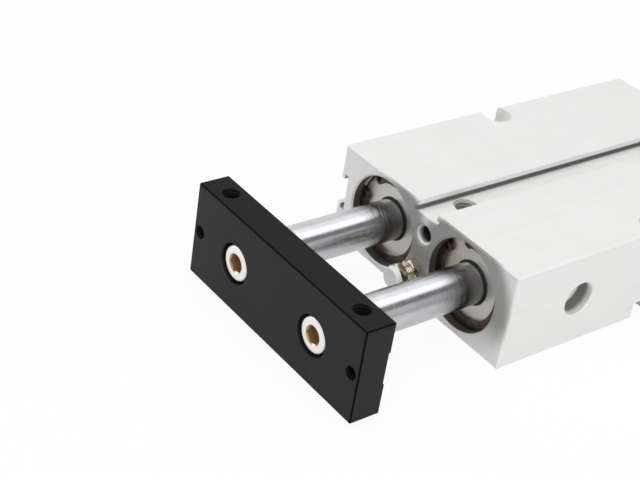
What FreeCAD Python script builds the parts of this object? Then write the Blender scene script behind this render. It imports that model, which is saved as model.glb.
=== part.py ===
import FreeCAD
import Part
import math
import os
import Sketcher
from types import SimpleNamespace

# Twin-rod guided pneumatic cylinder, in millimetres.
# +X runs along the stroke, out of the front, +Y points to the side with the ports, +Z is up.
# The origin lies on the base face, midway between the two mounting holes.
# Right is the side of +Y and left the side of -Y.

drivingSizes = {
    # travel and the extruded body
    "stroke": 25.0,
    "bodyWidth": 62.0,
    "bodyHeight": 25.0,
    "frontReach": 47.0,
    "cornerRadius": 0.5,
    "endChamfer": 0.3,
    "boreDia": 20.0,
    # recess for the rod cover and the rear cap, and the snap ring that holds them
    "mouthDia": 22.4,
    "mouthDepth": 18.5,
    "mouthChamfer": 0.4,
    "clipSetback": 2.5,
    "clipThick": 1.0,
    "clipGrooveDepth": 0.6,
    "clipBand": 2.8,
    "clipGap": 6.4,
    "lugRadius": 1.4,
    "lugHoleDia": 1.3,
    "lugAngle": 23.5,
    "lugInset": 1.2,
    # sensor grooves
    "slotWidth": 7.0,
    "slotDepth": 2.6,
    "slotLip": 1.3,
    "slotUndercut": 0.85,
    # mounting holes through the body
    "mountInset": 2.75,
    "mountHoleDia": 4.5,
    "mountRecessDia": 7.7,
    "mountRecessDepth": 4.5,
    # air ports
    "portDia": 8.6,
    "portFloorWall": 1.6,
    "portChamfer": 0.35,
    "portSetback": 22.8,
    "passageDia": 3.6,
    "passageShift": 1.9,
    # holes on the middle line of the body
    "upperHoleHeight": 17.6,
    "upperHoleDia": 4.2,
    "upperHoleDepth": 7.4,
    "upperHoleChamfer": 0.8,
    "floorHoleSetback": 12.3,
    "floorHoleDia": 5.0,
    "floorHoleDepth": 9.0,
    "floorHoleChamfer": 0.6,
    # rod cover
    "coverReach": 25.0,
    "spigotDia": 16.0,
    "sealPocketDia": 14.4,
    "wiperWall": 0.8,
    "wiperDepth": 3.2,
    "wiperNeck": 0.5,
    "sealDepth": 4.0,
    "webThick": 1.4,
    "webGap": 0.4,
    "ringGrooveWidth": 2.2,
    "ringGrooveDepth": 1.5,
    "ringGrooveSetback": 6.0,
    "bushWall": 1.5,
    "wiperLip": 0.4,
    # rear cap
    "capReach": 24.1,
    "pullHoleDia": 3.3,
    "pullHoleDepth": 8.0,
    "stubPocketDia": 12.6,
    "stubPocketDepth": 3.0,
    # rods and pistons
    "rodDia": 10.0,
    "stubDia": 6.0,
    "stubProud": 0.8,
    "edgeBreak": 0.4,
    "pistonLength": 18.6,
    "cushionThick": 1.6,
    "cushionInset": 1.0,
    "nutRecessDia": 12.4,
    "nutRecessDepth": 3.0,
    "wearSetback": 2.0,
    "wearWidth": 4.0,
    "wearDepth": 1.2,
    "pistonSealSetback": 7.6,
    "pistonSealWidth": 3.4,
    "magnetSetback": 12.4,
    "magnetWidth": 2.8,
    "sealGrooveDepth": 2.5,
    "pistonNutAcross": 10.0,
    "pistonNutThick": 3.6,
    # end plate
    "retractedGap": 9.0,
    "plateLength": 62.0,
    "plateHeight": 24.0,
    "plateThick": 8.0,
    "plateChamfer": 0.35,
    "seatWidth": 8.7,
    "seatDepth": 0.7,
    "screwRecessDia": 9.8,
    "screwRecessDepth": 5.4,
    "screwPassDia": 5.4,
    "frontThreadPitch": 57.0,
    "frontThreadDia": 3.3,
    "frontThreadDepth": 6.0,
    "edgeThreadPitch": 48.3,
    "edgeThreadDia": 4.2,
    "edgeThreadDepth": 8.0,
    # plate screws
    "screwDia": 5.0,
    "screwReach": 14.0,
    "screwHeadDia": 8.5,
    "screwHeadHeight": 5.0,
    "socketAcross": 4.0,
    "socketDepth": 2.5,
    "rodThreadDepth": 15.0,
    # stop bolt, its bumper and its lock nut
    "stopHeight": 7.8,
    "stopDia": 3.0,
    "stopShank": 11.0,
    "stopThreadDepth": 15.0,
    "stopHeadAcross": 5.5,
    "stopHeadThick": 2.0,
    "stopNutAcross": 5.5,
    "stopNutThick": 2.4,
    "stopNutGap": 2.0,
    "bumperDia": 5.2,
    "bumperThick": 1.5,
    "bumperPlugDia": 2.4,
    "bumperPlugDepth": 1.0,
    "bumperRound": 0.5,
    # clearances
    "threadGap": 0.03,
    "slideGap": 0.03,
    "pistonGap": 0.1,
    "coverGap": 0.1,
    "ringGap": 0.05,
    "restGap": 0.3,
}

doc = FreeCAD.newDocument("GuidedCylinder")
sheet = doc.addObject("Spreadsheet::Sheet", "Sizes")


class Size:
    # a length of the sheet: the formula that binds it and what it is now
    def __init__(self, formula, value):
        self.formula = formula
        self.value = value

    def joined(self, other, sign, value):
        return Size("(%s %s %s)" % (self.formula, sign, formulaOf(other)), value)

    def __add__(self, other):
        return self.joined(other, "+", self.value + valueOf(other))

    def __sub__(self, other):
        return self.joined(other, "-", self.value - valueOf(other))

    def __mul__(self, other):
        return self.joined(other, "*", self.value * valueOf(other))

    def __truediv__(self, other):
        return self.joined(other, "/", self.value / valueOf(other))

    def __radd__(self, other):
        return Size(formulaOf(other), other) + self

    def __rsub__(self, other):
        return Size(formulaOf(other), other) - self

    def __rmul__(self, other):
        return Size(formulaOf(other), other) * self

    def __neg__(self):
        return Size("(-1 * %s)" % self.formula, -self.value)


def formulaOf(amount):
    return amount.formula if isinstance(amount, Size) else "(%.9g)" % amount


def valueOf(amount):
    return amount.value if isinstance(amount, Size) else amount


def fillSheet():
    for row, (alias, amount) in enumerate(drivingSizes.items(), start=1):
        sheet.set("A%d" % row, alias)
        sheet.set("B%d" % row, str(amount))
        sheet.setAlias("B%d" % row, alias)
    doc.recompute()


fillSheet()
size = SimpleNamespace(**{alias: Size("Sizes." + alias, sheet.get(alias)) for alias in drivingSizes})

# places along the stroke that several pieces share, at full extension
pistonTrain = size.pistonLength + size.cushionThick * 2
bodyLength = size.stroke + size.coverReach + size.capReach + pistonTrain + size.restGap * 2
frontFace = size.frontReach
rearFace = size.frontReach - bodyLength
pistonFront = frontFace - size.coverReach - size.restGap - size.cushionThick
pistonRear = pistonFront - size.pistonLength
plateBack = frontFace + size.retractedGap + size.stroke
coverFace = size.clipSetback + size.clipThick

# heights and radii that several pieces share; the bores' pitch is a share of the body's width
pitchShare = 29.2 / 62
boreHeight = size.bodyHeight / 2
halfWidth = size.bodyWidth / 2
halfPitch = halfWidth * pitchShare
boreRadius = size.boreDia / 2
mouthRadius = size.mouthDia / 2
coverRadius = mouthRadius - size.coverGap
clipRadius = mouthRadius + size.clipGrooveDepth
rodRadius = size.rodDia / 2
bushRadius = rodRadius + size.slideGap + size.bushWall
pistonRadius = boreRadius - size.pistonGap
stubRadius = size.stubDia / 2
spigotRadius = size.spigotDia / 2
sides = {"left": -1, "right": 1}
clipTurns = {"left": 148.5, "right": 127.5}
rearClipTurns = {"left": 60.0, "right": 120.0}
stopTurns = {"nut": 8.0, "bolt": 6.0}
drillTip = math.tan(math.radians(90 - 118 / 2))
hexChamfer = math.tan(math.radians(30))
parts = []


def bind(item, path, amount):
    if isinstance(amount, Size) or amount:
        item.setExpression(path, formulaOf(amount))


def startBody(label, x=0, y=0, z=0, turn=0.0):
    body = doc.addObject("PartDesign::Body", label)
    body.Label = label
    if turn:
        body.Placement.Rotation = FreeCAD.Rotation(FreeCAD.Vector(1, 0, 0), turn)
    bind(body, "Placement.Base.x", x)
    bind(body, "Placement.Base.y", y)
    bind(body, "Placement.Base.z", z)
    parts.append(body)
    return body


def startSketch(body, name, role, shift=(0, 0, 0)):
    sketch = body.newObject("Sketcher::SketchObject", name)
    plane = next(item for item in body.Origin.OriginFeatures if item.Role == role)
    sketch.AttachmentSupport = (plane, [""])
    sketch.MapMode = "FlatFace"
    for axis, amount in zip("xyz", shift):
        bind(sketch, "AttachmentOffset.Base." + axis, amount)
    return sketch


def holdPoint(sketch, item, point, across, up):
    verticalAxis = -2
    horizontalAxis = -1
    for kind, axis, amount in (("DistanceX", verticalAxis, across), ("DistanceY", horizontalAxis, up)):
        if isinstance(amount, Size) or amount:
            rule = sketch.addConstraint(Sketcher.Constraint(kind, -1, 1, item, point, valueOf(amount)))
            bind(sketch, "Constraints[%d]" % rule, amount)
        else:
            sketch.addConstraint(Sketcher.Constraint("PointOnObject", item, point, axis))


def addOutline(sketch, corners):
    first = sketch.GeometryCount
    spots = [FreeCAD.Vector(valueOf(across), valueOf(up), 0) for across, up in corners]
    for spot, following in zip(spots, spots[1:] + spots[:1]):
        sketch.addGeometry(Part.LineSegment(spot, following), False)
    for index, (across, up) in enumerate(corners):
        following = first + (index + 1) % len(corners)
        sketch.addConstraint(Sketcher.Constraint("Coincident", first + index, 2, following, 1))
        holdPoint(sketch, first + index, 1, across, up)


def addCircle(sketch, across, up, radius):
    middle = FreeCAD.Vector(valueOf(across), valueOf(up), 0)
    item = sketch.addGeometry(Part.Circle(middle, FreeCAD.Vector(0, 0, 1), valueOf(radius)), False)
    rule = sketch.addConstraint(Sketcher.Constraint("Radius", item, valueOf(radius)))
    bind(sketch, "Constraints[%d]" % rule, radius)
    if not isinstance(across, Size) and not isinstance(up, Size) and not across and not up:
        sketch.addConstraint(Sketcher.Constraint("Coincident", item, 3, -1, 1))
    else:
        holdPoint(sketch, item, 3, across, up)


def addHexagon(sketch, acrossFlats):
    corner = acrossFlats / (2 * math.cos(math.radians(30)))
    spots = []
    for number in range(6):
        angle = math.radians(60 * number + 30)
        spots.append((corner * math.cos(angle), corner * math.sin(angle)))
    addOutline(sketch, spots)


def pad(body, sketch, name, length):
    feature = body.newObject("PartDesign::Pad", name)
    feature.Profile = sketch
    bind(feature, "Length", length)
    doc.recompute()
    return feature


def pocket(body, sketch, name, length, flip=False):
    before = body.Shape.Volume
    feature = body.newObject("PartDesign::Pocket", name)
    feature.Profile = sketch
    feature.Reversed = flip
    bind(feature, "Length", length)
    doc.recompute()
    checkCut(body, name, before)
    return feature


def checkCut(body, name, before):
    if body.Shape.Volume >= before:
        raise RuntimeError("%s cuts nothing from %s" % (name, body.Label))


def turned(body, name, corners):
    sketch = startSketch(body, name + "Profile", "XZ_Plane")
    addOutline(sketch, corners)
    feature = body.newObject("PartDesign::Revolution", name)
    feature.Profile = sketch
    feature.ReferenceAxis = (sketch, ["H_Axis"])
    feature.Angle = 360
    doc.recompute()
    return feature


def turnedCut(body, name, corners, role="XZ_Plane", shift=(0, 0, 0), axis="H_Axis"):
    before = body.Shape.Volume
    sketch = startSketch(body, name + "Profile", role, shift)
    addOutline(sketch, corners)
    feature = body.newObject("PartDesign::Groove", name)
    feature.Profile = sketch
    feature.ReferenceAxis = (sketch, [axis])
    feature.Angle = 360
    doc.recompute()
    checkCut(body, name, before)
    return feature


def hole(body, sketch, name, diameter, depth=None, recessDia=None, recessDepth=None, flip=False):
    before = body.Shape.Volume
    doc.recompute()
    feature = body.newObject("PartDesign::Hole", name)
    feature.Profile = sketch
    feature.Reversed = flip
    doc.recompute()
    bind(feature, "Diameter", diameter)
    if depth is None:
        feature.DepthType = "ThroughAll"
    else:
        feature.DepthType = "Dimension"
        bind(feature, "Depth", depth)
    if recessDia is not None:
        feature.HoleCutType = "Counterbore"
        feature.HoleCutCustomValues = True
        bind(feature, "HoleCutDiameter", recessDia)
        bind(feature, "HoleCutDepth", recessDepth)
    doc.recompute()
    checkCut(body, name, before)
    return feature


def edgesWhere(shape, test):
    return ["Edge%d" % number for number, edge in enumerate(shape.Edges, start=1) if test(edge)]


def dress(body, kind, name, amount, test):
    base = body.Tip
    feature = body.newObject("PartDesign::" + kind, name)
    feature.Base = (base, edgesWhere(base.Shape, test))
    bind(feature, "Radius" if kind == "Fillet" else "Size", amount)
    doc.recompute()
    return feature


def breakCorners(body, name, acrossFlats, near, far):
    # cone cut that takes the corners off a hexagon's end, from the plane near towards far
    inner = acrossFlats / 2
    outer = acrossFlats / (2 * math.cos(math.radians(30))) + size.edgeBreak
    drop = (outer - inner) * hexChamfer
    step = drop if far > 0 else -drop
    turnedCut(body, name, [(near, inner), (near, outer), (near + step, outer)])


def inFrom(end, depth):
    return frontFace - depth if end == "Front" else rearFace + depth


def makeCylinderBody():
    body = startBody("cylinder_body")
    lip = size.slotWidth / 2
    under = lip + size.slotUndercut
    roof = size.bodyHeight
    sketch = startSketch(body, "Section", "YZ_Plane", (0, 0, rearFace))
    addOutline(sketch, [
        (-halfWidth, 0),
        (halfWidth, 0),
        (halfWidth, roof),
        (lip, roof),
        (lip, roof - size.slotLip),
        (under, roof - size.slotLip),
        (under, roof - size.slotDepth),
        (-under, roof - size.slotDepth),
        (-under, roof - size.slotLip),
        (-lip, roof - size.slotLip),
        (-lip, roof),
        (-halfWidth, roof),
        (-halfWidth, boreHeight + lip),
        (size.slotLip - halfWidth, boreHeight + lip),
        (size.slotLip - halfWidth, boreHeight + under),
        (size.slotDepth - halfWidth, boreHeight + under),
        (size.slotDepth - halfWidth, boreHeight - under),
        (size.slotLip - halfWidth, boreHeight - under),
        (size.slotLip - halfWidth, boreHeight - lip),
        (-halfWidth, boreHeight - lip),
    ])
    for side in sides.values():
        addCircle(sketch, halfPitch * side, boreHeight, boreRadius)
    pad(body, sketch, "Extrusion", bodyLength)
    dress(body, "Fillet", "LongEdges", size.cornerRadius, isLongCorner)
    dress(body, "Chamfer", "EndEdges", size.endChamfer, isEndOutline)
    cutMouths(body)
    cutMountingHoles(body)
    cutPorts(body)
    cutMiddleHoles(body)


def isLongCorner(edge):
    box = edge.BoundBox
    atSide = abs(abs(box.YMin) - halfWidth.value) < 0.01
    atTopOrBase = min(abs(box.ZMin), abs(box.ZMin - size.bodyHeight.value)) < 0.01
    return box.XLength > 1 and box.YLength < 0.01 and atSide and atTopOrBase


def isEndOutline(edge):
    # the outline of both end faces, without the bores and the undercuts of the grooves
    box = edge.BoundBox
    atEnd = min(abs(box.XMin - frontFace.value), abs(box.XMin - rearFace.value)) < 0.01
    onSide = abs(abs(box.YMin) - halfWidth.value) < 0.01 and box.YLength < 0.01
    onTopOrBase = min(abs(box.ZMin), abs(box.ZMax - size.bodyHeight.value)) < 0.01 and box.ZLength < 0.01
    onCorner = abs(box.YLength - size.cornerRadius.value) < 0.01 and box.ZLength > 0.01
    return box.XLength < 0.01 and (onSide or onTopOrBase or (onCorner and len(edge.Vertexes) == 2))


def cutMouths(body):
    # stepped recess at both ends of each bore, with the snap ring's groove
    for end in ("Front", "Rear"):
        for label, side in sides.items():
            turnedCut(body, "%sMouth%s" % (end, label.capitalize()), [
                (inFrom(end, 0), 0),
                (inFrom(end, 0), mouthRadius + size.mouthChamfer),
                (inFrom(end, size.mouthChamfer), mouthRadius),
                (inFrom(end, size.clipSetback), mouthRadius),
                (inFrom(end, size.clipSetback), clipRadius),
                (inFrom(end, coverFace), clipRadius),
                (inFrom(end, coverFace), mouthRadius),
                (inFrom(end, size.mouthDepth), mouthRadius),
                (inFrom(end, size.mouthDepth), 0),
            ], shift=(0, boreHeight, halfPitch * -side))


def cutMountingHoles(body):
    sketch = startSketch(body, "MountTop", "XY_Plane", (0, 0, size.bodyHeight))
    under = startSketch(body, "MountBase", "XY_Plane")
    for side in sides.values():
        addCircle(sketch, 0, (halfWidth - size.mountInset) * side, size.mountHoleDia / 2)
        addCircle(under, 0, (halfWidth - size.mountInset) * side, size.mountRecessDia / 2)
    hole(body, sketch, "MountHoles", size.mountHoleDia, None, size.mountRecessDia, size.mountRecessDepth)
    pocket(body, under, "MountRecess", size.mountRecessDepth, flip=True)


def cutPorts(body):
    radius = size.portDia / 2
    floor = halfPitch + boreRadius + size.portFloorWall
    for end in ("Front", "Rear"):
        place = inFrom(end, size.portSetback)
        turnedCut(body, end + "Port", [
            (0, halfWidth),
            (radius + size.portChamfer, halfWidth),
            (radius, halfWidth - size.portChamfer),
            (radius, floor),
            (0, floor),
        ], "XY_Plane", (place, 0, boreHeight), "V_Axis")
        # one drilling joins the port to both bores, ahead of the piston's end position
        drilling = startSketch(body, end + "Drilling", "XZ_Plane", (0, 0, -floor))
        addCircle(drilling, inFrom(end, size.portSetback - size.passageShift), boreHeight, size.passageDia / 2)
        pocket(body, drilling, end + "Passage", floor + halfPitch, flip=True)


def blindHole(start, radius, depth, chamfer):
    # half section of a drilled hole that goes down from start, with its tip
    return [
        (0, start),
        (radius + chamfer, start),
        (radius, start - chamfer),
        (radius, start - depth),
        (0, start - depth - radius * drillTip),
    ]


def swapped(corners):
    return [(up, across) for across, up in corners]


def cutMiddleHoles(body):
    floor = size.bodyHeight - size.slotDepth
    upper = blindHole(frontFace, size.upperHoleDia / 2, size.upperHoleDepth, size.upperHoleChamfer)
    turnedCut(body, "UpperHole", swapped(upper), shift=(0, size.upperHoleHeight, 0))
    stopRadius = size.stopDia / 2 + size.threadGap
    stop = blindHole(frontFace, stopRadius, size.stopThreadDepth, size.edgeBreak)
    turnedCut(body, "StopThread", swapped(stop), shift=(0, size.stopHeight, 0))
    place = frontFace - size.floorHoleSetback
    upright = blindHole(floor, size.floorHoleDia / 2, size.floorHoleDepth, size.floorHoleChamfer)
    turnedCut(body, "FloorHole", upright, shift=(place, 0, 0), axis="V_Axis")


def makeEndPlate():
    bottom = boreHeight - size.plateHeight / 2
    half = size.plateLength / 2
    body = startBody("end_plate", plateBack, 0, bottom)
    sketch = startSketch(body, "Outline", "YZ_Plane")
    addOutline(sketch, [(-half, 0), (half, 0), (half, size.plateHeight), (-half, size.plateHeight)])
    pad(body, sketch, "Slab", size.plateThick)
    dress(body, "Chamfer", "Edges", size.plateChamfer, lambda edge: True)
    middle = size.plateHeight / 2
    seat = startSketch(body, "SeatOutline", "YZ_Plane")
    low = middle - size.seatWidth / 2
    high = middle + size.seatWidth / 2
    addOutline(seat, [(-half, low), (half, low), (half, high), (-half, high)])
    pocket(body, seat, "RodSeat", size.seatDepth, flip=True)
    screws = startSketch(body, "ScrewPlaces", "YZ_Plane", (0, 0, size.plateThick))
    threads = startSketch(body, "FrontThreadPlaces", "YZ_Plane", (0, 0, size.plateThick))
    top = startSketch(body, "TopThreadPlaces", "XY_Plane", (0, 0, size.plateHeight))
    base = startSketch(body, "BaseThreadPlaces", "XY_Plane")
    for side in sides.values():
        addCircle(screws, halfPitch * side, middle, size.screwPassDia / 2)
        addCircle(threads, size.frontThreadPitch / 2 * side, middle, size.frontThreadDia / 2)
        addCircle(top, size.plateThick / 2, size.edgeThreadPitch / 2 * side, size.edgeThreadDia / 2)
        addCircle(base, size.plateThick / 2, size.edgeThreadPitch / 2 * side, size.edgeThreadDia / 2)
    hole(body, screws, "ScrewHoles", size.screwPassDia, None, size.screwRecessDia, size.screwRecessDepth)
    hole(body, threads, "FrontThreads", size.frontThreadDia, size.frontThreadDepth)
    hole(body, top, "TopThreads", size.edgeThreadDia, size.edgeThreadDepth)
    hole(body, base, "BaseThreads", size.edgeThreadDia, size.edgeThreadDepth, flip=True)


def makeRod(label, side):
    body = startBody("rod_" + label, plateBack, halfPitch * side, boreHeight)
    shoulder = pistonFront - plateBack
    tail = pistonRear - size.stubProud - plateBack
    turned(body, "Bar", [
        (size.seatDepth, 0),
        (size.seatDepth, rodRadius - size.edgeBreak),
        (size.seatDepth - size.edgeBreak, rodRadius),
        (shoulder, rodRadius),
        (shoulder, stubRadius),
        (tail + size.edgeBreak, stubRadius),
        (tail, stubRadius - size.edgeBreak),
        (tail, 0),
    ])
    # flats that stop the rod from turning in the plate's seat
    flats = startSketch(body, "FlatOutlines", "YZ_Plane")
    seat = size.seatWidth / 2 - size.ringGap
    for up in (1, -1):
        addOutline(flats, [
            (-rodRadius, seat * up),
            (rodRadius, seat * up),
            (rodRadius, rodRadius * up),
            (-rodRadius, rodRadius * up),
        ])
    pocket(body, flats, "Flats", size.seatDepth, flip=True)
    radius = size.screwDia / 2 + size.threadGap
    depth = size.rodThreadDepth
    turnedCut(body, "ScrewThread", swapped(blindHole(size.seatDepth, radius, depth, size.edgeBreak)))


def makePlateScrew(label, side):
    seat = plateBack + size.plateThick - size.screwRecessDepth
    body = startBody("plate_screw_" + label, seat, halfPitch * side, boreHeight)
    radius = size.screwDia / 2
    head = size.screwHeadDia / 2
    turned(body, "Blank", [
        (size.edgeBreak - size.screwReach, radius),
        (0, radius),
        (0, head),
        (size.screwHeadHeight - size.edgeBreak, head),
        (size.screwHeadHeight, head - size.edgeBreak),
        (size.screwHeadHeight, 0),
        (-size.screwReach, 0),
        (-size.screwReach, radius - size.edgeBreak),
    ])
    sketch = startSketch(body, "SocketOutline", "YZ_Plane", (0, 0, size.screwHeadHeight))
    addHexagon(sketch, size.socketAcross)
    pocket(body, sketch, "Socket", size.socketDepth)


def makeRodCover(label, side):
    # origin on the cover's front face; it bottoms on the shoulder of the body's recess
    body = startBody("rod_cover_" + label, inFrom("Front", coverFace), halfPitch * side, boreHeight)
    shoulder = coverFace - size.mouthDepth
    tail = coverFace - size.coverReach
    pocketRadius = size.sealPocketDia / 2
    web = rodRadius + size.webGap
    mouth = rodRadius + size.wiperNeck
    ringFront = -size.ringGrooveSetback
    ringRear = ringFront - size.ringGrooveWidth
    ringFloor = coverRadius - size.ringGrooveDepth
    sealFront = -size.wiperDepth - size.webThick
    sealRear = sealFront - size.sealDepth
    bushFront = sealRear - size.webThick
    turned(body, "Shell", [
        (-size.wiperWall, mouth),
        (0, mouth),
        (0, coverRadius - size.edgeBreak),
        (-size.edgeBreak, coverRadius),
        (ringFront, coverRadius),
        (ringFront, ringFloor),
        (ringRear, ringFloor),
        (ringRear, coverRadius),
        (shoulder, coverRadius),
        (shoulder, spigotRadius),
        (tail, spigotRadius),
        (tail, bushRadius),
        (bushFront, bushRadius),
        (bushFront, web),
        (sealRear, web),
        (sealRear, pocketRadius),
        (sealFront, pocketRadius),
        (sealFront, web),
        (-size.wiperDepth, web),
        (-size.wiperDepth, pocketRadius),
        (-size.wiperWall, pocketRadius),
    ])
    makeWiper(label, side, pocketRadius, mouth)
    makeRodSeal(label, side, pocketRadius, sealFront, sealRear)
    makeBush(label, side, bushFront, tail)
    makeSealRing("cover_ring_" + label, inFrom("Front", coverFace - (ringFront + ringRear) / 2), side)


def makeWiper(label, side, outer, neck):
    # snapped in behind the cover's front wall, its lip shows round the rod
    body = startBody("rod_wiper_" + label, inFrom("Front", coverFace), halfPitch * side, boreHeight)
    lip = rodRadius + size.ringGap
    crest = lip + (neck - lip) / 2
    turned(body, "Ring", [
        (-size.wiperDepth, lip + size.edgeBreak),
        (-size.wiperDepth, outer),
        (-size.wiperWall, outer),
        (-size.wiperWall, neck),
        (0, neck),
        (size.wiperLip, crest),
        (size.wiperLip, lip),
        (-size.edgeBreak, lip),
    ])


def makeRodSeal(label, side, outer, front, rear):
    # lip seal, its open side towards the air chamber
    body = startBody("rod_seal_" + label, inFrom("Front", coverFace), halfPitch * side, boreHeight)
    lip = rodRadius + size.ringGap
    gap = (outer - lip) / 3
    valley = rear + (front - rear) / 2
    turned(body, "Ring", [
        (front, lip),
        (front, outer),
        (rear, outer),
        (rear, outer - gap),
        (valley, outer - gap),
        (valley, lip + gap),
        (rear, lip + gap),
        (rear, lip),
    ])


def makeBush(label, side, front, tail):
    body = startBody("guide_bush_" + label, inFrom("Front", coverFace), halfPitch * side, boreHeight)
    inner = rodRadius + size.slideGap
    turned(body, "Tube", [(front, inner), (front, bushRadius), (tail, bushRadius), (tail, inner)])


def makeSealRing(name, place, side):
    # round ring squeezed between the groove's floor and the recess's wall, its section a hexagon
    body = startBody(name, place, halfPitch * side, boreHeight)
    floor = coverRadius - size.ringGrooveDepth
    section = (mouthRadius - floor) / 2
    corner = section / math.cos(math.radians(30))
    corners = []
    for number in range(6):
        angle = math.radians(60 * number)
        corners.append((corner * math.cos(angle), floor + section + corner * math.sin(angle)))
    turned(body, "Ring", corners)


def makeRearCap(label, side):
    # origin on the cap's rear face
    body = startBody("rear_cap_" + label, inFrom("Rear", coverFace), halfPitch * side, boreHeight)
    shoulder = size.mouthDepth - coverFace
    nose = size.capReach - coverFace
    pocketRadius = size.stubPocketDia / 2
    ringStart = size.ringGrooveSetback
    ringEnd = ringStart + size.ringGrooveWidth
    ringFloor = coverRadius - size.ringGrooveDepth
    pull = size.pullHoleDia / 2
    turned(body, "Plug", [
        (size.pullHoleDepth, 0),
        (size.pullHoleDepth, pull),
        (0, pull),
        (0, coverRadius - size.edgeBreak),
        (size.edgeBreak, coverRadius),
        (ringStart, coverRadius),
        (ringStart, ringFloor),
        (ringEnd, ringFloor),
        (ringEnd, coverRadius),
        (shoulder, coverRadius),
        (shoulder, spigotRadius),
        (nose, spigotRadius),
        (nose, pocketRadius),
        (nose - size.stubPocketDepth, pocketRadius),
        (nose - size.stubPocketDepth, 0),
    ])
    makeSealRing("cap_ring_" + label, inFrom("Rear", coverFace + (ringStart + ringEnd) / 2), side)


def makeSnapRing(name, end, side, turn):
    near = size.clipSetback if end == "Front" else coverFace
    place = inFrom(end, near) - size.clipThick
    body = startBody(name, place, halfPitch * side, boreHeight, turn)
    outer = clipRadius - size.ringGap
    inner = clipRadius - size.clipBand
    half = size.clipGap / 2
    sketch = startSketch(body, "Band", "YZ_Plane")
    arcs = []
    for radius in (outer, inner):
        opening = math.asin(half.value / radius.value)
        circle = Part.Circle(FreeCAD.Vector(0, 0, 0), FreeCAD.Vector(0, 0, 1), radius.value)
        arc = sketch.addGeometry(Part.ArcOfCircle(circle, opening, 2 * math.pi - opening), False)
        sketch.addConstraint(Sketcher.Constraint("Coincident", arc, 3, -1, 1))
        rule = sketch.addConstraint(Sketcher.Constraint("Radius", arc, radius.value))
        bind(sketch, "Constraints[%d]" % rule, radius)
        arcs.append(arc)
    for point, up in ((1, half), (2, -half)):
        ends = [sketch.getPoint(arc, point) for arc in arcs]
        line = sketch.addGeometry(Part.LineSegment(ends[0], ends[1]), False)
        for number, arc in enumerate(arcs, start=1):
            sketch.addConstraint(Sketcher.Constraint("Coincident", line, number, arc, point))
            rule = sketch.addConstraint(Sketcher.Constraint("DistanceY", -1, 1, arc, point, up.value))
            bind(sketch, "Constraints[%d]" % rule, up)
    pad(body, sketch, "Spring", size.clipThick)
    lugs = startSketch(body, "LugPlaces", "YZ_Plane")
    eyes = startSketch(body, "EyePlaces", "YZ_Plane", (0, 0, size.clipThick))
    reach = mouthRadius - size.lugInset
    for way in (1, -1):
        angle = math.radians(size.lugAngle.value)
        across = reach * math.cos(angle)
        up = reach * (way * math.sin(angle))
        addCircle(lugs, across, up, size.lugRadius)
        addCircle(eyes, across, up, size.lugHoleDia / 2)
    pad(body, lugs, "Lugs", size.clipThick)
    pocket(body, eyes, "Eyes", size.clipThick)


def makePiston(label, side):
    # origin on the piston's front face, where the rod's shoulder bears
    body = startBody("piston_" + label, pistonFront, halfPitch * side, boreHeight)
    bore = stubRadius + size.threadGap
    length = -size.pistonLength
    recess = size.nutRecessDia / 2
    wearFloor = pistonRadius - size.wearDepth
    sealFloor = pistonRadius - size.sealGrooveDepth
    grooves = (
        (size.wearSetback, size.wearWidth, wearFloor),
        (size.pistonSealSetback, size.pistonSealWidth, sealFloor),
        (size.magnetSetback, size.magnetWidth, sealFloor),
    )
    corners = [(0, bore), (0, pistonRadius - size.edgeBreak), (-size.edgeBreak, pistonRadius)]
    for setback, width, floor in grooves:
        corners += [
            (-setback, pistonRadius),
            (-setback, floor),
            (-setback - width, floor),
            (-setback - width, pistonRadius),
        ]
    corners += [
        (length + size.edgeBreak, pistonRadius),
        (length, pistonRadius - size.edgeBreak),
        (length, recess),
        (length + size.nutRecessDepth, recess),
        (length + size.nutRecessDepth, bore),
    ]
    turned(body, "Disc", corners)
    wearOuter = boreRadius - size.ringGap
    makeBand("wear_ring_" + label, side, size.wearSetback, size.wearWidth, wearFloor, wearOuter)
    magnetOuter = pistonRadius - size.restGap
    makeBand("magnet_ring_" + label, side, size.magnetSetback, size.magnetWidth, sealFloor, magnetOuter)
    makePistonSeal(label, side, sealFloor)
    makePistonNut(label, side)
    bumpInner = rodRadius + size.restGap
    makeCushion("front_cushion_" + label, side, pistonFront, bumpInner, spigotRadius)
    makeCushion("rear_cushion_" + label, side, pistonRear - size.cushionThick, recess, pistonRadius - size.cushionInset)


def makeBand(name, side, setback, width, inner, outer):
    body = startBody(name, pistonFront, halfPitch * side, boreHeight)
    front = -setback
    rear = -setback - width
    turned(body, "Band", [(front, inner), (front, outer), (rear, outer), (rear, inner)])


def makePistonSeal(label, side, inner):
    # two lips with a valley between them
    body = startBody("piston_seal_" + label, pistonFront, halfPitch * side, boreHeight)
    front = -size.pistonSealSetback
    rear = front - size.pistonSealWidth
    outer = boreRadius - size.ringGap
    middle = (front + rear) / 2
    turned(body, "Ring", [
        (front, inner),
        (front, outer),
        (front - size.pistonSealWidth / 4, outer),
        (middle, outer - size.pistonSealWidth / 4),
        (rear + size.pistonSealWidth / 4, outer),
        (rear, outer),
        (rear, inner),
    ])


def makePistonNut(label, side):
    seat = pistonRear + size.nutRecessDepth - size.pistonNutThick
    body = startBody("piston_nut_" + label, seat, halfPitch * side, boreHeight)
    drawHexNut(body, size.pistonNutAcross, size.pistonNutThick, stubRadius + size.threadGap)


def drawHexNut(body, across, thick, bore):
    sketch = startSketch(body, "Hexagon", "YZ_Plane")
    addHexagon(sketch, across)
    addCircle(sketch, 0, 0, bore)
    pad(body, sketch, "Blank", thick)


def makeCushion(name, side, place, inner, outer):
    body = startBody(name, place, halfPitch * side, boreHeight)
    thick = size.cushionThick
    turned(body, "Ring", [
        (0, inner),
        (0, outer),
        (thick, outer),
        (thick, inner),
    ])


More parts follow.
